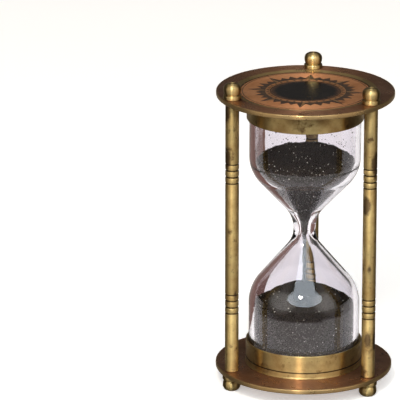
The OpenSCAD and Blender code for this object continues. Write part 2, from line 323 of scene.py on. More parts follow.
def band(tree, value, middles, edge, core, most=1.0):
    """Rises from 0 at a distance of edge from the nearest of middles to most at core."""
    near = None
    for middle in middles:
        away = math_node(tree, "ABSOLUTE", math_node(tree, "SUBTRACT", value, middle))
        near = away if near is None else math_node(tree, "MINIMUM", near, away)
    return add(tree, "MapRange", {0: near, 1: edge, 2: core, 3: 0.0, 4: most}).outputs[0]


def stain_mark(tree, place, spot, size):
    """A ragged upright stain at a spot in millimetres."""
    away = add(tree, "VectorMath", {0: place, 1: tuple(MM * v for v in spot)},
               operation="SUBTRACT").outputs[0]
    away = add(tree, "VectorMath", {0: away, 1: (1 / MM, 1 / MM, MARK_STRETCH / MM)},
               operation="MULTIPLY").outputs[0]
    away = add(tree, "VectorMath", {0: away}, operation="LENGTH").outputs["Value"]
    away = math_node(tree, "MULTIPLY_ADD", cloud(tree, place, 1.6, 4, 6.6), MARK_RAGGED, away)
    return add(tree, "MapRange", {0: away, 1: size + 1.4, 2: size + 0.5, 3: 0.0, 4: 0.85}).outputs[0]


def turned_metal(name, along, colours, roughness, stain=0.5, bright=None, grooves=(),
                 grain_of_cut=1.0, solid=1.0, cove=False, halo=None, marks=()):
    """Turned metal with brown tarnish in soft patches, dark pits, and tool lines.
    colours are the clean, tarnished and stained metal. bright gives (inner, outer, colour): the
    metal is rubbed bright from the one radius to the other. Dirt fills cuts at grooves. solid is
    below 1 where a film of oxide or lacquer dulls the metal. cove makes a plate's hollow edge
    bare brass with a dark seam. halo gives the radii of a dark ring that fades outwards. marks
    gives stains as (place, size)."""
    material, tree, shader, place = new_material(name, roughness, solid)
    clean, tarnished, stained = colours
    radius = radius_of(tree, place)
    cut = radius if along == "radius" else height_of(tree, place)
    lines = tool_lines(tree, cut, TOOL_LINE)
    patches = cloud(tree, place, PATCH, 5)
    colour = mixed(tree, ramp(tree, patches, (0.38, (0, 0, 0)), (0.66, (1, 1, 1))),
                   (*clean, 1), (*tarnished, 1))
    blots = ramp(tree, cloud(tree, place, BLOT, 3, 3.7),
                 (0.70 - 0.14 * stain, (0, 0, 0)), (0.80 - 0.1 * stain, (1, 1, 1)))
    colour = mixed(tree, blots, colour, (*stained, 1))
    if grooves:
        colour = mixed(tree, band(tree, cut, grooves, 0.42, 0.24), colour, DIRT)
    specks = cloud(tree, place, SPECK, 2, 8.1)
    colour = mixed(tree, ramp(tree, specks, (0.66, (0, 0, 0)), (0.74, (0.55, 0.55, 0.55))),
                   colour, (*stained, 1))
    colour = mixed(tree, math_node(tree, "MULTIPLY", lines, 0.30), colour, (*tarnished, 1))
    if bright:
        inner, outer, rubbed = bright
        edge = add(tree, "MapRange", {0: radius, 1: inner, 2: outer}).outputs[0]
        colour = mixed(tree, edge, colour, (*rubbed, 1))
    if halo:
        inner, outer = halo
        wander = math_node(tree, "MULTIPLY_ADD", cloud(tree, place, 2.5, 4, 5.2), -2 * HALO_RAGGED, radius)
        shade = add(tree, "MapRange", {0: wander, 1: inner - HALO_RAGGED, 2: outer - HALO_RAGGED,
                                       3: 0.8, 4: 0.0}).outputs[0]
        colour = mixed(tree, shade, colour, HALO_BROWN)
    for spot, size in marks:
        colour = mixed(tree, stain_mark(tree, place, spot, size), colour, MARK_BROWN)
    if cove:
        from_middle = math_node(tree, "ABSOLUTE", math_node(
            tree, "SUBTRACT", height_of(tree, place), MID_Z))
        outer_face = math_node(tree, "GREATER_THAN", from_middle, TOP_Z - MID_Z - 0.8)
        slope = band(tree, radius, [(COVE_OUTER_R + COVE_INNER_R) / 2 + 0.1], 1.65, 1.45)
        seam = band(tree, radius, [COVE_INNER_R + 0.1], 0.55, 0.25, 0.85)
        for where, paint in ((slope, COVE_BRASS), (seam, SEAM_BLACK)):
            colour = mixed(tree, math_node(tree, "MULTIPLY", where, outer_face), colour, paint)
    tree.links.new(colour, shader.inputs["Base Color"])
    rough = add(tree, "MapRange", {0: patches, 1: 0.3, 2: 0.7, 3: roughness * 0.8, 4: roughness * 1.45})
    tree.links.new(rough.outputs[0], shader.inputs["Roughness"])
    relief = math_node(tree, "MULTIPLY_ADD", lines, 0.5, math_node(tree, "MULTIPLY", specks, 0.25))
    bump = add(tree, "Bump", {"Height": relief, "Strength": 0.25, "Distance": 0.04 * MM})
    tree.links.new(bump.outputs[0], shader.inputs["Normal"])
    shader.inputs["Anisotropic"].default_value = grain_of_cut
    shader.inputs["Anisotropic Rotation"].default_value = 0.25
    return material


plate_outline = (
    [(0, TOP_UNDER_Z), (28.2, TOP_UNDER_Z), (40.95, TOP_UNDER_Z)]
    + arc(PLATE_R - RIM_ROUND, TOP_UNDER_Z + RIM_ROUND, RIM_ROUND, -90, 0, 5)
    + arc(PLATE_R - RIM_ROUND, TOP_Z - RIM_ROUND, RIM_ROUND, 0, 90, 5)
    + [(COVE_OUTER_R + 0.25, TOP_Z), (COVE_OUTER_R, TOP_Z - 0.03)]
    + [(COVE_OUTER_R - COVE_W * t, TOP_Z - 0.03 - (DIAL_DROP - 0.05) * (1.35 * t - 0.35 * t * t))
       for t in (0.2, 0.4, 0.6, 0.8, 1.0)]
    + [(COVE_INNER_R, TOP_Z - DIAL_DROP), (COVE_INNER_R, TOP_Z - DIAL_DROP - DIAL_T),
       (0, TOP_Z - DIAL_DROP - DIAL_T)])
browned_copper = turned_metal(
    "browned_copper", "radius", (COPPER, (0.24, 0.108, 0.056), (0.10, 0.045, 0.022)), 0.28, stain=0.8,
    bright=(PLATE_R - 0.7, PLATE_R - 0.2, (0.40, 0.255, 0.11)), cove=True, solid=0.88)
HOLE_PLAY, DRILL_SPAN = 0.1, {"top_plate": (135, 151), "base_plate": (-1, 15)}
for name, flip in {"top_plate": False, "base_plate": True}.items():
    plate = turned(name + "_disc", plate_outline, 192, flip=flip)
    drilled(plate, PILLAR_PLACES.values(), STUD_R + HOLE_PLAY, *DRILL_SPAN[name])
    plate.data.materials.append(browned_copper)
    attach(plate, "stand")
    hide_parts(name)

# ---------------------------------------------------------------- Dials
# A thin copper disc pressed into each plate, with a scale ring and a sun rose of 32 points
# laid on it in black and light copper, round an enamelled centre.
DIAL_R, ENAMEL_R, ENAMEL_T = 30.3, 16.3, 0.25
DIAL_Z = TOP_Z - DIAL_DROP
RING_LINE_R = 29.3
dial_outline = [
    (0, DIAL_Z - DIAL_T), (DIAL_R, DIAL_Z - DIAL_T), (DIAL_R, DIAL_Z - 0.08), (DIAL_R - 0.08, DIAL_Z),
    (RING_LINE_R + 0.2, DIAL_Z), (RING_LINE_R + 0.08, DIAL_Z - 0.1), (RING_LINE_R - 0.08, DIAL_Z - 0.1),
    (RING_LINE_R - 0.2, DIAL_Z), (ENAMEL_R + 0.05, DIAL_Z), (ENAMEL_R + 0.05, DIAL_Z - ENAMEL_T),
    (0, DIAL_Z - ENAMEL_T)]
dial_copper = turned_metal(
    "dial_copper", "radius", ((0.62, 0.275, 0.118), (0.46, 0.19, 0.078), (0.16, 0.065, 0.030)), 0.42,
    stain=0.7, grain_of_cut=0.85, solid=0.62, halo=(ENAMEL_R + 0.1, ENAMEL_R + 2.2))
for name, flip in {"top_dial": False, "base_dial": True}.items():
    dial = turned(name + "_disc", dial_outline, 192, flip=flip)
    dial.data.materials.append(dial_copper)
    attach(dial, "stand")
    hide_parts(name)

inlay_black, tree, shader, place = new_material("inlay_black", 0.5, 0.3)
tree.links.new(ramp(tree, cloud(tree, place, 1.5), (0.3, (0.025, 0.015, 0.010)), (0.8, (0.09, 0.045, 0.022))),
               shader.inputs["Base Color"])
inlay_light, tree, shader, place = new_material("inlay_light", 0.38, 0.9)
tree.links.new(ramp(tree, cloud(tree, place, 2.5), (0.3, (0.62, 0.36, 0.16)), (0.7, (0.40, 0.20, 0.09))),
               shader.inputs["Base Color"])

ROSE_POINTS, ROSE_LOW_R, ROSE_VALLEY_R = 32, 18.75, 20.7
LONG_TIP_R, MIDDLE_TIP_R, SHORT_TIP_R = 27.0, 24.4, 23.4
INLAY_T, INLAY_EDGE = 0.05, 0.36
DASHES, DASH_L, DASH_W, DASH_R = 32, 1.1, 0.9, 17.7


def rose_tip(index):
    """Radius of a point of the rose: every fourth is a principal one."""
    return LONG_TIP_R if index % 4 == 0 else MIDDLE_TIP_R if index % 2 == 0 else SHORT_TIP_R


def rose(name, flip):
    """The sun rose: a ring of 64 edges drawn out to a star, its halves inset and lightened."""
    z = TOTAL_H - DIAL_Z if flip else DIAL_Z
    thick = -INLAY_T if flip else INLAY_T
    bpy.ops.object.select_all(action="DESELECT")
    bpy.ops.mesh.primitive_circle_add(
        vertices=ROSE_POINTS * 2, radius=ROSE_LOW_R * MM, location=(0, 0, 0))
    piece = bpy.context.object
    piece.name = piece.data.name = name
    bpy.ops.object.mode_set(mode="EDIT")
    bpy.ops.transform.translate(value=(0, 0, z * MM))
    bpy.ops.mesh.extrude_edges_move()
    bpy.ops.transform.resize(value=(ROSE_VALLEY_R / ROSE_LOW_R, ROSE_VALLEY_R / ROSE_LOW_R, 1),
                             center_override=(0, 0, 0))
    bpy.ops.object.mode_set(mode="OBJECT")
    step = math.tau / (ROSE_POINTS * 2)
    for vertex in piece.data.vertices:
        turn = round(math.atan2(vertex.co.y, vertex.co.x) / step) % (ROSE_POINTS * 2)
        if vertex.co.xy.length > (ROSE_LOW_R + 0.5) * MM and turn % 2 == 0:
            vertex.co.xy *= rose_tip((turn // 2) % ROSE_POINTS) / ROSE_VALLEY_R
    piece.data.materials.append(inlay_black)
    piece.data.materials.append(inlay_light)
    bpy.ops.object.mode_set(mode="EDIT")
    bpy.ops.mesh.select_all(action="SELECT")
    bpy.ops.mesh.inset(use_individual=True, use_boundary=True, thickness=INLAY_EDGE * MM, depth=0)
    bpy.ops.object.mode_set(mode="OBJECT")
    for face in piece.data.polygons:
        centre = face.center
        turn = math.atan2(centre.y, centre.x) / step
        half, principal = int(math.floor(turn)), round(turn / 8) * 8
        lit = half % 2 == (1 if flip else 0) and abs(turn - principal) < 1
        face.material_index = 1 if face.select and lit else 0
    bpy.ops.object.mode_set(mode="EDIT")
    bpy.ops.mesh.select_all(action="SELECT")
    bpy.ops.mesh.solidify(thickness=-INLAY_T * MM)
    bpy.ops.mesh.select_all(action="SELECT")
    bpy.ops.mesh.normals_make_consistent(inside=False)
    bpy.ops.object.mode_set(mode="OBJECT")
    heights = [v.co.z for v in piece.data.vertices]
    lift = (z + max(thick, 0)) * MM - max(heights) if not flip else (z + min(thick, 0)) * MM - min(heights)
    for vertex in piece.data.vertices:
        vertex.co.z += lift
    return piece


def ring_inlay(name, low_r, high_r, flip, steps=160, thick=INLAY_T):
    """A thin flat ring laid on the dial."""
    outline = [(low_r, DIAL_Z), (high_r, DIAL_Z), (high_r, DIAL_Z + thick), (low_r, DIAL_Z + thick),
               (low_r, DIAL_Z)]
    return turned(name, outline, steps, flip=flip)


def joined(name, parts):
    """Joins separate meshes into one piece."""
    bpy.ops.object.select_all(action="DESELECT")
    for part in parts:
        part.select_set(True)
    bpy.context.view_layer.objects.active = parts[0]
    bpy.ops.object.join()
    parts[0].name = parts[0].data.name = name
    return parts[0]


for name, flip in {"top": False, "base": True}.items():
    sun = rose(name + "_rose", flip)
    rings = []
    for low_r, high_r, paint in ((16.6, 16.9, inlay_light), (18.4, ROSE_LOW_R, inlay_light),
                                 (RING_LINE_R - 0.2, RING_LINE_R + 0.2, inlay_black)):
        rings.append(ring_inlay("ring", low_r, high_r, flip))
        rings[-1].data.materials.append(paint)
    dash_z = TOTAL_H - DIAL_Z if flip else DIAL_Z
    bpy.ops.object.select_all(action="DESELECT")
    bpy.ops.mesh.primitive_cube_add(size=1, location=(0, 0, 0))
    dashes = bpy.context.object
    bpy.ops.object.mode_set(mode="EDIT")
    bpy.ops.transform.resize(value=(DASH_L * MM, DASH_W * MM, 2 * INLAY_T * MM))
    bpy.ops.transform.translate(value=(DASH_R * MM, 0, dash_z * MM))
    bpy.ops.mesh.spin(steps=DASHES, angle=math.tau, center=(0, 0, 0), axis=(0, 0, 1), dupli=True)
    bpy.ops.mesh.select_all(action="SELECT")
    bpy.ops.mesh.remove_doubles(threshold=0.002 * MM)
    bpy.ops.mesh.normals_make_consistent(inside=False)
    bpy.ops.object.mode_set(mode="OBJECT")
    dashes.data.materials.append(inlay_black)
    sun = joined(name + "_rose", [sun, *rings, dashes])
    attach(sun, "stand")

# The centre of each dial is a shallow disc of black enamel, fired and polished.
enamel_black, tree, shader, place = new_material("enamel_black", 0.22)
black = ramp(tree, cloud(tree, place, 6, 6), (0.35, (0.005, 0.004, 0.004)), (0.75, (0.010, 0.008, 0.007)))
worn = math_node(tree, "MULTIPLY_ADD", cloud(tree, place, 2.2, 4, 4.4), 3.0, radius_of(tree, place))
worn = add(tree, "MapRange", {0: worn, 1: 15.2, 2: 17.4}).outputs[0]
tree.links.new(mixed(tree, worn, black, (0.055, 0.026, 0.014, 1)), shader.inputs["Base Color"])
smudges = add(tree, "MapRange", {0: cloud(tree, place, 3, 6, 2.0), 1: 0.35, 2: 0.75, 3: 0.14, 4: 0.30})
shader.inputs["Specular IOR Level"].default_value = 0.28
tree.links.new(smudges.outputs[0], shader.inputs["Roughness"])
enamel_outline = [
    (0, DIAL_Z - ENAMEL_T), (ENAMEL_R, DIAL_Z - ENAMEL_T), (ENAMEL_R, DIAL_Z - 0.08),
    (ENAMEL_R - 0.1, DIAL_Z - 0.02), (ENAMEL_R - 0.4, DIAL_Z), (ENAMEL_R * 0.6, DIAL_Z), (0, DIAL_Z)]
for name, flip in {"top_enamel": False, "base_enamel": True}.items():
    enamel = turned(name + "_disc", enamel_outline, 160, flip=flip)
    enamel.data.materials.append(enamel_black)
    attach(enamel, "stand")
    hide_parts(name)

# ---------------------------------------------------------------- Pillars
# Three brass rods with two groups of turned rings, and a threaded stud on each end
# that goes through the plate into a ball nut.
PILLAR_R, CHAMFER = 3.2, 0.4
RING_OFFSET, DEEP_AT, DEEP, SHALLOW_AT, SHALLOW = 31.85, 1.6, 0.55, 4.6, 0.3
BASE_TOP_Z = NUT_H + PLATE_T
STUD_LEN = PLATE_T + 4.55
THREAD_PITCH, THREAD_DEPTH = 0.7, 0.3


def groove(z, depth):
    """Outline of one cut groove with slightly rolled edges."""
    half = 0.22 + depth * 0.4
    return [(PILLAR_R, z - half - 0.12), (PILLAR_R - 0.05, z - half), (PILLAR_R - depth, z - 0.12),
            (PILLAR_R - depth, z + 0.12), (PILLAR_R - 0.05, z + half), (PILLAR_R, z + half + 0.12)]


def stud(low, high):
    """Outline of a stud with its thread as close rings, from its free end up to its shoulder."""
    points = [(0, low), (STUD_R - 0.4, low), (STUD_R, low + 0.4)]
    z = low + 0.8
    while z < high - 0.8:
        points += [(STUD_R, z), (STUD_R - THREAD_DEPTH, z + THREAD_PITCH / 2)]
        z += THREAD_PITCH
    return points + [(STUD_R, z), (STUD_R, high)]


lower_stud = stud(BASE_TOP_Z - STUD_LEN, BASE_TOP_Z)
pillar_outline = lower_stud + [(PILLAR_R - CHAMFER, BASE_TOP_Z), (PILLAR_R, BASE_TOP_Z + CHAMFER)]
for group in (MID_Z - RING_OFFSET, MID_Z + RING_OFFSET):
    pillar_outline += groove(group - SHALLOW_AT, SHALLOW) + groove(group - DEEP_AT, DEEP)
    pillar_outline += groove(group + DEEP_AT, DEEP) + groove(group + SHALLOW_AT, SHALLOW)
pillar_outline += [(PILLAR_R, TOP_UNDER_Z - CHAMFER), (PILLAR_R - CHAMFER, TOP_UNDER_Z)]
pillar_outline += [(r, TOTAL_H - z) for r, z in reversed(lower_stud)]
GROOVE_HEIGHTS = [MID_Z + side * RING_OFFSET + way for side in (-1, 1)
                  for way in (-SHALLOW_AT, -DEEP_AT, DEEP_AT, SHALLOW_AT)]
# Old stains, as a place and a size each
PILLAR_MARKS = (
    ((30.6, -21.2, 93.8), 1.9), ((34.8, -20.0, 114), 2.4), ((32.0, -21.5, 28.4), 1.5),
    ((35, -19, 27.5), 2.0), ((29.5, -20.0, 11.5), 1.8), ((-34.4, -20.4, 114.6), 2.3),
    ((-34.5, -20.5, 137), 2.2), ((-30.0, -21.0, 48.0), 0.7), ((32.4, -21.7, 63.0), 0.6),
    ((2.4, 34.3, 96.0), 1.2))
antique_brass = turned_metal(
    "antique_brass", "height", (BRASS, (0.42, 0.27, 0.10), (0.13, 0.070, 0.030)), 0.45, stain=0.75,
    grooves=GROOVE_HEIGHTS, grain_of_cut=0.8, solid=0.95, marks=PILLAR_MARKS)
for name, spot in PILLAR_PLACES.items():
    pillar = turned("pillar_" + name + "_rod", pillar_outline, 64, spot)
    pillar.data.materials.append(antique_brass)
    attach(pillar, "stand")
    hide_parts("pillar_" + name)

# ---------------------------------------------------------------- Ball nuts
# Turned brass nuts with a collar and a squat ball, on the studs: finials above, feet below.
# Each one unscrews, so it rides on a body of its own.
COLLAR_R, COLLAR_H, COLLAR_ROUND, NECK_R = 4.3, 2.1, 0.55, 3.4
BALL_R, BALL_H, BORE_R, BORE_DEPTH = 4.2, 5.1, 2.0, 4.9
bore_top, ball_z = TOP_Z + BORE_DEPTH, TOTAL_H - BALL_H / 2
nut_outline = (
    [(0, bore_top + 0.6), (BORE_R, bore_top), (BORE_R, TOP_Z + 0.3), (BORE_R + 0.3, TOP_Z)]
    + [(COLLAR_R - COLLAR_ROUND, TOP_Z)]
    + arc(COLLAR_R - COLLAR_ROUND, TOP_Z + COLLAR_ROUND, COLLAR_ROUND, -90, 0, 6)
    + arc(COLLAR_R - COLLAR_ROUND, TOP_Z + COLLAR_H - COLLAR_ROUND, COLLAR_ROUND, 0, 90, 6)
    + [(NECK_R + 0.1, TOP_Z + COLLAR_H), (NECK_R, TOP_Z + COLLAR_H + 0.1)]
    + [(NECK_R + (BALL_R - NECK_R) * math.cos(math.radians(a)),
        ball_z + (BALL_H / 2 - 0.1) * math.sin(math.radians(a))) for a in range(-78, 0, 13)]
    + arc(BALL_R - BALL_H / 2, ball_z, BALL_H / 2, 0, 90, 12)
    + [(0, TOTAL_H)])
nut_brass = turned_metal(
    "nut_brass", "height", ((0.64, 0.47, 0.20), (0.47, 0.32, 0.13), (0.13, 0.070, 0.030)), 0.32, stain=0.9)
for kind, flip in {"finial_": False, "foot_": True}.items():
    for name, spot in PILLAR_PLACES.items():
        nut = turned(kind + name + "_nut", nut_outline, 64, spot, flip)
        nut.data.materials.append(nut_brass)
        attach(nut, kind + name)
        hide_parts(kind + name)

# ---------------------------------------------------------------- Cups
# Two brass cups turned thin, each with a cut line and a bead round its foot and a rolled rim.
# They are fixed to the plates and hold the ends of the glass.
CUP_R, CUP_H, CUP_WALL, CUP_FLOOR, CUP_BEAD = 27.3, 11.2, 0.9, 0.8, 0.4
rim_z, line_z = TOP_UNDER_Z - CUP_H, TOP_UNDER_Z - 3.0
cup_outline = (
    [(0, TOP_UNDER_Z), (CUP_R + CUP_BEAD - 0.1, TOP_UNDER_Z)]
    + arc(CUP_R + CUP_BEAD - 0.2, TOP_UNDER_Z - 0.3, 0.2, 60, -60, 4)
    + [(CUP_R, TOP_UNDER_Z - 0.85), (CUP_R, line_z + 0.3), (CUP_R - 0.22, line_z + 0.08),
       (CUP_R - 0.22, line_z - 0.08), (CUP_R, line_z - 0.3), (CUP_R, rim_z + 0.5)]
    + arc(CUP_R - 0.3, rim_z + 0.3, 0.3, 0, -90, 4)
    + arc(CUP_R - CUP_WALL + 0.3, rim_z + 0.3, 0.3, -90, -180, 4)
    + [(CUP_R - CUP_WALL, TOP_UNDER_Z - CUP_FLOOR - 0.5), (CUP_R - CUP_WALL - 0.4, TOP_UNDER_Z - CUP_FLOOR),
       (0, TOP_UNDER_Z - CUP_FLOOR)])
cup_brass = turned_metal(
    "cup_brass", "height", ((0.62, 0.45, 0.19), (0.38, 0.235, 0.09), (0.16, 0.085, 0.035)), 0.34, stain=0.8,
    grooves=(line_z, TOTAL_H - line_z), solid=0.95)
for name, flip in {"upper_cup": False, "lower_cup": True}.items():
    cup = turned(name + "_shell", cup_outline, 192, flip=flip)
    cup.data.materials.append(cup_brass)
    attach(cup, "stand")
    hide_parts(name)

# ---------------------------------------------------------------- Cork pads
# A thin disc of pressed cork in each cup, which the end of the glass is clamped against.
PAD_T, PAD_R = 1.6, 26.3
GLASS_HIGH_Z = TOP_UNDER_Z - CUP_FLOOR - PAD_T
pad_outline = [(0, GLASS_HIGH_Z), (PAD_R - 0.2, GLASS_HIGH_Z), (PAD_R, GLASS_HIGH_Z + 0.2),
               (PAD_R, GLASS_HIGH_Z + PAD_T - 0.2), (PAD_R - 0.2, GLASS_HIGH_Z + PAD_T),
               (0, GLASS_HIGH_Z + PAD_T)]
cork, tree, shader, place = new_material("cork", 0.85)
granules = add(tree, "TexVoronoi", {"Vector": place, "Scale": 1 / (1.4 * MM)})
tree.links.new(ramp(tree, granules.outputs["Color"], (0.1, (0.20, 0.10, 0.045)), (0.5, (0.42, 0.25, 0.12)),
                    (0.9, (0.55, 0.36, 0.19))), shader.inputs["Base Color"])
bump = add(tree, "Bump", {"Height": granules.outputs["Distance"], "Strength": 0.4, "Distance": 0.2 * MM})
tree.links.new(bump.outputs[0], shader.inputs["Normal"])
for name, flip in {"upper_pad": False, "lower_pad": True}.items():
    pad = turned(name + "_disc", pad_outline, 96, flip=flip)
    pad.data.materials.append(cork)
    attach(pad, "stand")
    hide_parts(name)

# ---------------------------------------------------------------- Glass
# One blown glass: two bulbs drawn together to a neck, with a thick wall, rounded flat ends,
# and a filling hole in the upper end. It stands in the cups between the cork pads.
BULB_R, NECK_OUT_R, WALL, NECK_BORE_R = 26.0, 5.15, 2.4, 1.7
UPPER_BULB = dict(fillet=16.3, shoulder=17.1, angle=42.6)
LOWER_BULB = dict(fillet=12.1, shoulder=19.2, angle=39.9)
END_ROUND, HOLE_R = 4.5, 5.0
GLASS_LOW_Z = TOTAL_H - GLASS_HIGH_Z


def shoulder_height(neck, bulb, fillet, shoulder, angle):
    """Height above the neck at which the cone has rounded into the bulb's wall."""
    a = math.radians(angle)
    return ((fillet + shoulder) * math.sin(a)
            + (bulb - neck - (fillet + shoulder) * (1 - math.cos(a))) / math.tan(a))


def bulb_outline(neck, bulb, fillet, shoulder, angle, steps=14):
    """Half outline of a bulb from the neck outwards: a hollow curve, a cone and a shoulder."""
    top = shoulder_height(neck, bulb, fillet, shoulder, angle)
    angles = [math.radians(angle * i / steps) for i in range(steps + 1)]
    return ([(neck + fillet * (1 - math.cos(a)), fillet * math.sin(a)) for a in angles]
            + [(bulb - shoulder * (1 - math.cos(a)), top - shoulder * math.sin(a)) for a in reversed(angles)])


def inner_outline(gap, fillet, shoulder, angle):
    """The bulb's inner wall, moved inwards by gap."""
    a = math.radians(angle)
    shift = (shoulder_height(NECK_OUT_R, BULB_R, fillet, shoulder, angle)
             - shoulder_height(NECK_BORE_R, BULB_R - WALL, 0, shoulder - WALL, angle))
    inner_fillet = shift / (math.sin(a) - (1 - math.cos(a)) / math.tan(a))
    return bulb_outline(NECK_BORE_R - gap, BULB_R - WALL - gap, inner_fillet + gap,
                        shoulder - WALL - gap, angle)


def upwards(points):
    return [(r, MID_Z + h) for r, h in points]


def downwards(points):
    return [(r, MID_Z - h) for r, h in reversed(points)]


inner_round = END_ROUND - WALL / 2
glass_outline = (
    [(0, GLASS_LOW_Z)] + arc(BULB_R - END_ROUND, GLASS_LOW_Z + END_ROUND, END_ROUND, -90, 0, 10)
    + downwards(bulb_outline(NECK_OUT_R, BULB_R, **LOWER_BULB))
    + upwards(bulb_outline(NECK_OUT_R, BULB_R, **UPPER_BULB))
    + arc(BULB_R - END_ROUND, GLASS_HIGH_Z - END_ROUND, END_ROUND, 0, 90, 10)
    + [(HOLE_R + 0.4, GLASS_HIGH_Z), (HOLE_R, GLASS_HIGH_Z - 0.4), (HOLE_R, GLASS_HIGH_Z - WALL + 0.4),
       (HOLE_R + 0.4, GLASS_HIGH_Z - WALL)]
    + arc(BULB_R - WALL - inner_round, GLASS_HIGH_Z - WALL - inner_round, inner_round, 90, 0, 10)
    + list(reversed(upwards(inner_outline(0, **UPPER_BULB))))
    + list(reversed(downwards(inner_outline(0, **LOWER_BULB))))
    + arc(BULB_R - WALL - inner_round, GLASS_LOW_Z + WALL + inner_round, inner_round, 0, -90, 10)
    + [(0, GLASS_LOW_Z + WALL)])
glass_clear, tree, shader, place = new_material("glass_clear", 0.0)
shader.inputs["Base Color"].default_value = (0.90, 0.875, 0.925, 1)
shader.inputs["Transmission Weight"].default_value = 1.0
shader.inputs["IOR"].default_value = 1.5
ripple = add(tree, "Bump", {"Height": cloud(tree, place, 14, 2), "Strength": 0.12, "Distance": 0.4 * MM})
tree.links.new(ripple.outputs[0], shader.inputs["Normal"])
glass = turned("blown_glass", glass_outline, 160)
glass.data.materials.append(glass_clear)
glass.visible_shadow = False
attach(glass, "stand")
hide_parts("glass_bulb")

# ---------------------------------------------------------------- Cork stopper
# A short cork pushed into the filling hole and hidden by the upper cup.
CORK_R, CORK_H = 4.9, 7.0
stopper_outline = [
    (0, GLASS_HIGH_Z - CORK_H), (CORK_R - 0.9, GLASS_HIGH_Z - CORK_H),
    (CORK_R - 0.4, GLASS_HIGH_Z - CORK_H + 0.4), (CORK_R, GLASS_HIGH_Z - WALL), (CORK_R, GLASS_HIGH_Z - 0.3),
    (CORK_R - 0.3, GLASS_HIGH_Z), (0, GLASS_HIGH_Z)]
stopper = turned("cork_stopper", stopper_outline, 48)
stopper.data.materials.append(cork)
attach(stopper, "stand")
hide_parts("glass_stopper")

# ---------------------------------------------------------------- Sand
# Dark mineral sand with a few grains painted near white, as painted glints. It fills the funnel of the upper
# bulb, lies as a pile in the lower one, and falls between them in a thin thread.
UPPER_LEVEL, UPPER_DIP = MID_Z + 34.2, 2.2
LOWER_LEVEL, PILE_ANGLE = 39.0, 25.0
SAND_GAP, GRAIN, BED = 0.1, 0.72, 0.25
SAND_R = BULB_R - WALL - SAND_GAP
UPPER_GRAINS, LOWER_GRAINS, THREAD_GRAINS = 2.3, 1.65, 3.0
SORT_FROM = (0.0131, -0.0457, 0.0779)
dark_sand, tree, shader, place = new_material("dark_sand", 0.55)
tone = add(tree, "Attribute", attribute_name="tone").outputs["Fac"]
drift = cloud(tree, place, 7, 3)
# Painted light and shade: the tops of the sand get a much darker colour than its sides against the glass,
# which get a paler, lit colour.
painted_lit_side = add(tree, "Attribute", attribute_name="painted_lit_side").outputs["Fac"]
# The last stop of each ramp paints a few grains near white, as painted glints.
shaded_top_colour = ramp(tree, tone, (0.0, (0.003, 0.002, 0.001)), (0.55, (0.009, 0.006, 0.003)),
             (0.975, (0.03, 0.022, 0.014)), (0.994, (0.66, 0.62, 0.52)))
lit_side_colour = ramp(tree, tone, (0.0, (0.052, 0.050, 0.046)), (0.5, (0.088, 0.084, 0.078)),
               (0.98, (0.16, 0.150, 0.14)), (0.996, (0.65, 0.62, 0.55)))
colour = mixed(tree, painted_lit_side, shaded_top_colour, lit_side_colour)
colour = mixed(tree, math_node(tree, "MULTIPLY", drift, 0.15), colour, (0.022, 0.016, 0.010, 1))
tree.links.new(colour, shader.inputs["Base Color"])
shader.inputs["Specular IOR Level"].default_value = 0.0

bpy.ops.object.select_all(action="DESELECT")
bpy.ops.mesh.primitive_uv_sphere_add(segments=4, ring_count=2, radius=GRAIN / 2 * MM)
grain = bpy.context.object
grain.name = "grain"
bpy.ops.object.mode_set(mode="EDIT")
bpy.ops.transform.resize(value=(1.0, 0.8, 0.7))
bpy.ops.object.mode_set(mode="OBJECT")
grain.data.materials.append(dark_sand)


def scatter_nodes():
    """Nodes that strew grains over a surface, each with its own turn, size and tone."""
    group = bpy.data.node_groups.new("strewn_grains", "GeometryNodeTree")
    group.interface.new_socket("Geometry", in_out="INPUT", socket_type="NodeSocketGeometry")
    group.interface.new_socket("Density", in_out="INPUT", socket_type="NodeSocketFloat")
    group.interface.new_socket("Seed", in_out="INPUT", socket_type="NodeSocketInt")
    group.interface.new_socket("Geometry", in_out="OUTPUT", socket_type="NodeSocketGeometry")
    make, link = group.nodes.new, group.links.new
    given, made = make("NodeGroupInput"), make("NodeGroupOutput")
    points = make("GeometryNodeDistributePointsOnFaces")
    link(given.outputs["Geometry"], points.inputs["Mesh"])
    link(given.outputs["Density"], points.inputs["Density"])
    link(given.outputs["Seed"], points.inputs["Seed"])
    shape = make("GeometryNodeObjectInfo")
    shape.inputs["Object"].default_value = grain
    turn = make("FunctionNodeRandomValue")
    turn.data_type = "FLOAT_VECTOR"
    turn.inputs["Max"].default_value = (math.tau, math.tau, math.tau)
    size = make("FunctionNodeRandomValue")
    size.inputs[2].default_value, size.inputs[3].default_value = 0.65, 1.25
    tone = make("FunctionNodeRandomValue")
    for seed, node in enumerate((turn, size, tone), 11):
        node.inputs["Seed"].default_value = seed
    placed = make("GeometryNodeInstanceOnPoints")
    link(points.outputs["Points"], placed.inputs["Points"])
    link(shape.outputs["Geometry"], placed.inputs["Instance"])
    link(turn.outputs[0], placed.inputs["Rotation"])
    link(size.outputs[1], placed.inputs["Scale"])
    toned = make("GeometryNodeStoreNamedAttribute")
    toned.domain = "INSTANCE"
    toned.inputs["Name"].default_value = "tone"
    link(placed.outputs["Instances"], toned.inputs["Geometry"])
    link(tone.outputs[1], toned.inputs["Value"])
    real, together = make("GeometryNodeRealizeInstances"), make("GeometryNodeJoinGeometry")
    link(toned.outputs[0], real.inputs[0])
    link(given.outputs["Geometry"], together.inputs[0])
    link(real.outputs[0], together.inputs[0])
    link(together.outputs[0], made.inputs[0])
    return group


strewn_grains = scatter_nodes()


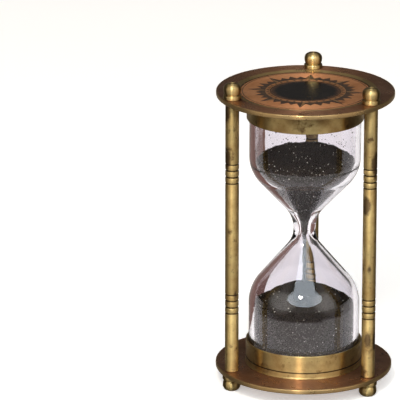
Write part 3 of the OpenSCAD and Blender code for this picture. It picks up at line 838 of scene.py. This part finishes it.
def strew(piece, per_mm2, seed):
    """Covers a piece of sand with separate grains. Its faces are first put in a fixed order, by their
    distance from a point, so that the grains fall in the same places on each run."""
    bpy.ops.object.select_all(action="DESELECT")
    piece.select_set(True)
    bpy.context.view_layer.objects.active = piece
    bpy.ops.object.mode_set(mode="EDIT")
    bpy.ops.mesh.select_all(action="SELECT")
    bpy.context.scene.cursor.location = SORT_FROM
    bpy.ops.mesh.sort_elements(type="CURSOR_DISTANCE", elements={"FACE"})
    bpy.ops.object.mode_set(mode="OBJECT")
    cover = piece.modifiers.new("grains", "NODES")
    cover.node_group = strewn_grains
    names = [item.identifier for item in strewn_grains.interface.items_tree if item.in_out == "INPUT"]
    cover[names[1]] = per_mm2 / MM ** 2
    cover[names[2]] = seed
    bpy.ops.object.select_all(action="DESELECT")
    piece.select_set(True)
    bpy.context.view_layer.objects.active = piece
    bpy.ops.object.modifier_apply(modifier="grains")


def paint_lit_sides(piece, lit_side_at):
    """Marks the sand that lies against the glass, which gets the paler painted light; the rest keeps the
    darker painted shade of the tops.
    """
    marks = piece.data.attributes.new("painted_lit_side", "FLOAT", "POINT")
    for vertex in piece.data.vertices:
        x, y, z = vertex.co / MM
        marks.data[vertex.index].value = float(lit_side_at(x, y, z))


def ripple_at(x, y, size):
    """Gentle unevenness of a sand surface, from -1 to 1, at a place in millimetres."""
    return noise.noise(Vector((x / size, y / size, 4.3)))


# Sand left in the upper bulb: dished in the middle, uneven, and higher at the back than in front
TOP_RINGS, RIM_DROP = 22, 0.2
BACK_RISE, FRONT_FALL, SIDE_FALL = 1.6, 1.1, 0.4
wall = [(r, z) for r, z in upwards(inner_outline(SAND_GAP + BED, **UPPER_BULB)) if z < UPPER_LEVEL - 3.0]
rim_r = SAND_R - BED
upper_sand_outline = [(0, MID_Z)] + wall + [(rim_r, UPPER_LEVEL - 2), (rim_r, UPPER_LEVEL - 0.4)]
upper_sand_outline += [
    (rim_r * (1 - i / TOP_RINGS), UPPER_LEVEL - RIM_DROP - UPPER_DIP * (1 - (1 - i / TOP_RINGS) ** 2))
    for i in range(TOP_RINGS + 1)]
upper_sand = turned("upper_heap", upper_sand_outline, 144)
for vertex in upper_sand.data.vertices:
    x, y, z = vertex.co / MM
    if z > UPPER_LEVEL - UPPER_DIP - 0.5 and math.hypot(x, y) < rim_r + 0.01:
        if math.hypot(x, y) < rim_r - 0.01 or z > UPPER_LEVEL - 0.9:
            vertex.co.z += (0.6 * ripple_at(x, y, 5) + 0.45 * ripple_at(x, y, 1.6)
                            + (BACK_RISE if y > 0 else FRONT_FALL) * y / SAND_R
                            - SIDE_FALL * abs(x) / SAND_R) * MM
upper_sand.data.materials.append(dark_sand)
# The dished top gets the dark painted shade, the sides against the glass the paler painted light
paint_lit_sides(upper_sand, lambda x, y, z: z < UPPER_LEVEL - UPPER_DIP - 1.5 or math.hypot(x, y) > rim_r - 0.05)
strew(upper_sand, UPPER_GRAINS, 1)
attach(upper_sand, "stand")
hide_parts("upper_sand")

# Pile in the lower bulb, with a rounded top whose darker painted shade reaches lower down in front
TOP_ROUND, SHADED_TOP_DEPTH, SHADED_FRONT_FALL = 1.3, 0.9, 1.8
pile_rise = SAND_R * math.tan(math.radians(PILE_ANGLE))
floor_z = GLASS_LOW_Z + WALL + SAND_GAP + BED
lower_sand_outline = [(0, floor_z)] + arc(rim_r - inner_round, floor_z + inner_round, inner_round, -90, 0, 8)
lower_sand_outline += [(rim_r, z) for z in (24, 30, 32, 33, 34, 35, 36, 37, 38, LOWER_LEVEL - 0.4)]
lower_sand_outline += [
    (rim_r * (1 - i / TOP_RINGS),
     LOWER_LEVEL - RIM_DROP + pile_rise * (i / TOP_RINGS) - TOP_ROUND * (i / TOP_RINGS) ** 6)
    for i in range(TOP_RINGS + 1)]
lower_sand = turned("lower_pile", lower_sand_outline, 144)
for vertex in lower_sand.data.vertices:
    x, y, z = vertex.co / MM
    if z > LOWER_LEVEL - 0.9:
        vertex.co.z += (0.7 * ripple_at(x + 40, y, 6) + 0.35 * ripple_at(x, y + 30, 1.7)) * MM
lower_sand.data.materials.append(dark_sand)
# The top of the pile gets the dark painted shade, reaching lower in front; the sides below get the paler
# painted light
paint_lit_sides(lower_sand, lambda x, y, z: z < (
    LOWER_LEVEL - SHADED_TOP_DEPTH - SHADED_FRONT_FALL * max(0.0, -(y + 0.35 * x) / SAND_R) ** 1.5))
strew(lower_sand, LOWER_GRAINS, 2)
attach(lower_sand, "stand")
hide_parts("lower_sand")

# Thread of falling sand, a little ragged
STREAM_R, STREAM_TAPER, STREAM_FLARE, STREAM_SINK = 0.8, 5.0, 0.8, 1.5
STREAM_STEPS, FLARE_STEPS, RAGGED = 40, 8, 0.35
core_r = STREAM_R - 0.2
pile_top = LOWER_LEVEL + pile_rise
narrow_z = MID_Z - STREAM_TAPER
stream_outline = [(0, pile_top - STREAM_SINK)] + [
    (core_r, pile_top - STREAM_SINK + (narrow_z - pile_top + STREAM_SINK) * i / STREAM_STEPS)
    for i in range(STREAM_STEPS + 1)]
stream_outline += [
    (core_r + STREAM_FLARE * (i / FLARE_STEPS) ** 1.5, narrow_z + STREAM_TAPER * i / FLARE_STEPS)
    for i in range(1, FLARE_STEPS + 1)]
stream_outline += [(0, MID_Z)]
stream = turned("falling_thread", stream_outline, 12)
for vertex in stream.data.vertices:
    x, y, z = vertex.co / MM
    vertex.co.xy *= 1 + RAGGED * noise.noise(Vector((x, y, z * 0.8)))
stream.data.materials.append(dark_sand)
# The whole thread gets the paler painted light
paint_lit_sides(stream, lambda x, y, z: True)
strew(stream, THREAD_GRAINS, 3)
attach(stream, "stand")
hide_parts("sand_stream")

# Loose grains that cling to the inside of the glass above the sand
CLINGING, CLING_LOW_Z, CLING_HIGH_Z = 130, 110.5, 127.5
CLING_SMALL_R, CLING_LARGE_R = 0.18, 0.34
random.seed(7)
clinging = []
while len(clinging) < CLINGING:
    angle = random.uniform(0, math.tau)
    z = random.triangular(CLING_LOW_Z, CLING_HIGH_Z, CLING_LOW_Z)
    place_r = BULB_R - WALL - 0.2
    bpy.ops.object.select_all(action="DESELECT")
    bpy.ops.mesh.primitive_ico_sphere_add(
        subdivisions=1, radius=random.uniform(CLING_SMALL_R, CLING_LARGE_R) * MM,
        location=(place_r * math.cos(angle) * MM, place_r * math.sin(angle) * MM, z * MM))
    clinging.append(bpy.context.object)
clinging_grains = joined("clinging_grains", clinging)
bpy.ops.object.transform_apply(location=True, rotation=True, scale=True)
clinging_grains.data.materials.append(dark_sand)
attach(clinging_grains, "stand")
bpy.data.objects.remove(grain)
